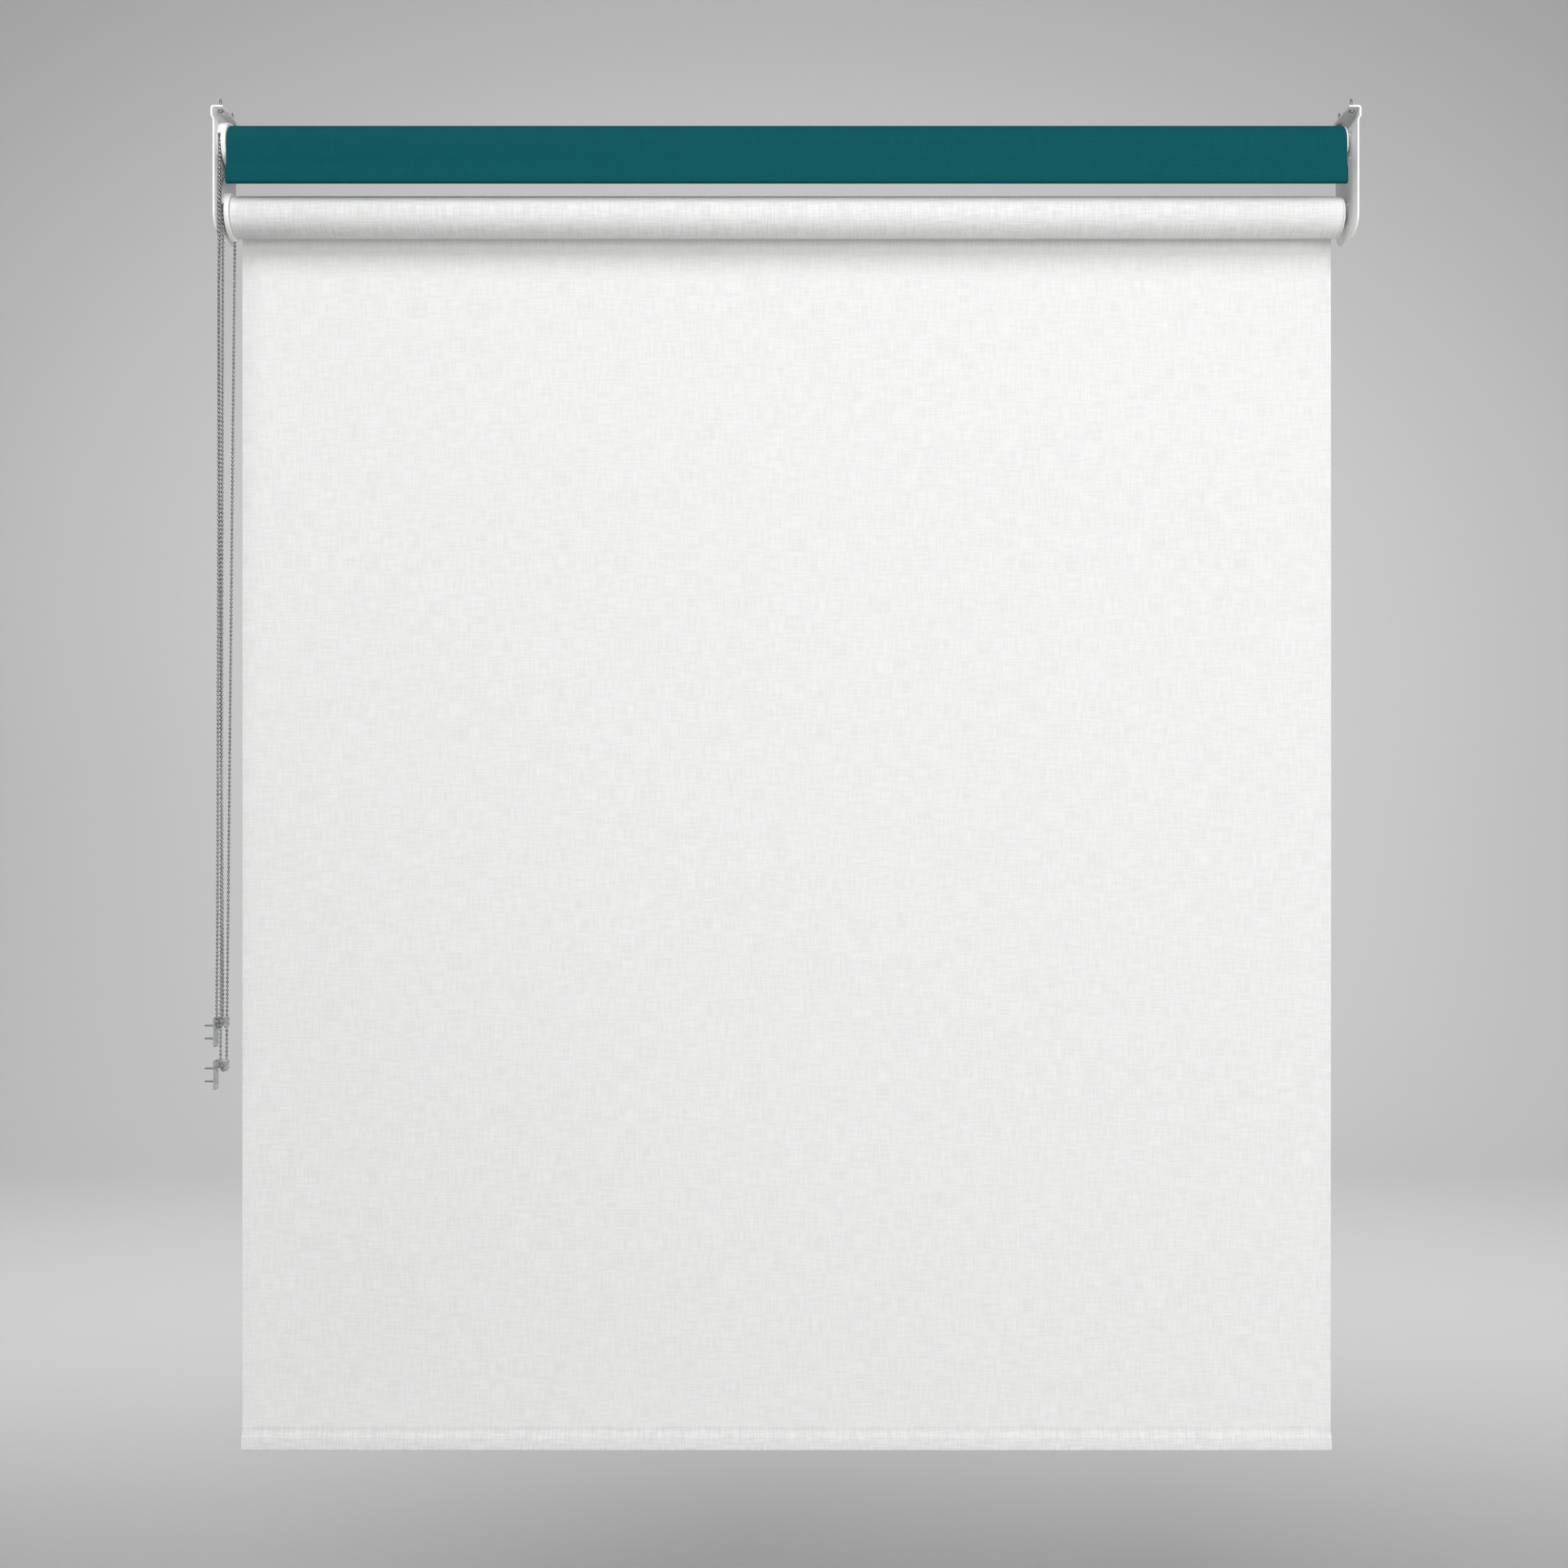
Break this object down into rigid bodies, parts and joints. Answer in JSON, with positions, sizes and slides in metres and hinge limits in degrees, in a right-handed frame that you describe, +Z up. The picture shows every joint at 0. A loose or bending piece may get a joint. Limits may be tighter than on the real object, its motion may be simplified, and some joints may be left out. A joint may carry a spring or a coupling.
{
  "type": "roller blind",
  "caption": "Double roller blind: a rolled-up blackout blind over a let-down sheer blind on paired steel brackets, each worked by its own bead-chain clutch.",
  "frame": {"origin": "on the lintel that the brackets hang from, midway between the two brackets, 35 mm behind their front edges and in line with the chain clips", "axes": "+X along the rollers to the right as seen from the room, +Y away from the room, +Z up"},
  "size_m": [1.1847, 0.068, 1.3963],
  "materials": {
    "painted_steel": "white powder coat, satin",
    "white_plastic": "white moulded, slightly satin",
    "grey_plastic": "light grey moulded",
    "clear_plastic": "clear moulded",
    "steel": "zinc-plated",
    "chain_steel": "nickel-plated bead chain",
    "aluminium": "mill finish extrusion",
    "blackout_fabric": "closely woven blackout cloth, matt",
    "sheer_fabric": "light-filtering linen-look weave, matt"
  },
  "bodies": {
    "mounting": {"left_bracket": "painted_steel", "right_bracket": "painted_steel", "left_bracket_screw_front": "steel", "left_bracket_screw_back": "steel", "right_bracket_screw_front": "steel", "right_bracket_screw_back": "steel", "blackout_clutch_base": "white_plastic", "blackout_clutch_cover": "white_plastic", "blackout_wrap_spring": "steel", "blackout_fabric_drop": "blackout_fabric", "blackout_chain": "chain_steel", "blackout_chain_clip": "clear_plastic", "blackout_clip_screw_upper": "steel", "blackout_clip_screw_lower": "steel", "sheer_clutch_base": "white_plastic", "sheer_clutch_cover": "white_plastic", "sheer_wrap_spring": "steel", "sheer_fabric_drop": "sheer_fabric", "sheer_chain": "chain_steel", "sheer_chain_clip": "clear_plastic", "sheer_clip_screw_upper": "steel", "sheer_clip_screw_lower": "steel"},
    "blackout_roller": {"blackout_roller_tube": "aluminium", "blackout_fabric_key": "grey_plastic", "blackout_fabric_roll": "blackout_fabric", "blackout_drive_plug": "grey_plastic", "blackout_idle_plug": "white_plastic", "blackout_idle_spring": "steel"},
    "blackout_wheel": {"blackout_sprocket": "grey_plastic"},
    "blackout_pin": {"blackout_idle_pin": "grey_plastic"},
    "blackout_bar": {"blackout_hem": "blackout_fabric", "blackout_bottom_bar": "aluminium", "blackout_bar_cap_left": "white_plastic", "blackout_bar_cap_right": "white_plastic"},
    "sheer_roller": {"sheer_roller_tube": "aluminium", "sheer_fabric_key": "grey_plastic", "sheer_fabric_roll": "sheer_fabric", "sheer_drive_plug": "grey_plastic", "sheer_idle_plug": "white_plastic", "sheer_idle_spring": "steel"},
    "sheer_wheel": {"sheer_sprocket": "grey_plastic"},
    "sheer_pin": {"sheer_idle_pin": "grey_plastic"},
    "sheer_bar": {"sheer_hem": "sheer_fabric", "sheer_bottom_bar": "aluminium", "sheer_bar_cap_left": "white_plastic", "sheer_bar_cap_right": "white_plastic"}
  },
  "joints": [
    {"name": "blackout_roll_turn", "type": "hinge", "parent": "mounting", "child": "blackout_roller", "pos_m": [0, -0.007, -0.033], "axis": [1, 0, 0], "range_deg": [0, 3550]},
    {"name": "blackout_wheel_turn", "type": "hinge", "parent": "mounting", "child": "blackout_wheel", "pos_m": [0, -0.007, -0.033], "axis": [1, 0, 0], "range_deg": [0, 3550]},
    {"name": "blackout_bar_slide", "type": "slide", "parent": "mounting", "child": "blackout_bar", "axis": [0, 0, -1], "range_m": [0, 1.3], "deforming": ["blackout_fabric_drop"]},
    {"name": "blackout_pin_slide", "type": "slide", "parent": "blackout_roller", "child": "blackout_pin", "axis": [-1, 0, 0], "range_m": [0, 0.008], "stiffness_N_per_m": 600, "springref_m": -0.004, "deforming": ["blackout_idle_spring"]},
    {"name": "sheer_roll_turn", "type": "hinge", "parent": "mounting", "child": "sheer_roller", "pos_m": [0, 0.002, -0.102], "axis": [1, 0, 0], "range_deg": [0, 3370]},
    {"name": "sheer_wheel_turn", "type": "hinge", "parent": "mounting", "child": "sheer_wheel", "pos_m": [0, 0.002, -0.102], "axis": [1, 0, 0], "range_deg": [0, 3370]},
    {"name": "sheer_bar_slide", "type": "slide", "parent": "mounting", "child": "sheer_bar", "axis": [0, 0, 1], "range_m": [0, 1.235], "deforming": ["sheer_fabric_drop"]},
    {"name": "sheer_pin_slide", "type": "slide", "parent": "sheer_roller", "child": "sheer_pin", "axis": [-1, 0, 0], "range_m": [0, 0.008], "stiffness_N_per_m": 600, "springref_m": -0.004, "deforming": ["sheer_idle_spring"]}
  ],
  "couplings": [
    {"joint": "blackout_roll_turn", "follows": "blackout_bar_slide", "rad_per_m": 47.619},
    {"joint": "blackout_wheel_turn", "follows": "blackout_bar_slide", "rad_per_m": 47.619},
    {"joint": "sheer_roll_turn", "follows": "sheer_bar_slide", "rad_per_m": 47.619},
    {"joint": "sheer_wheel_turn", "follows": "sheer_bar_slide", "rad_per_m": 47.619}
  ]
}
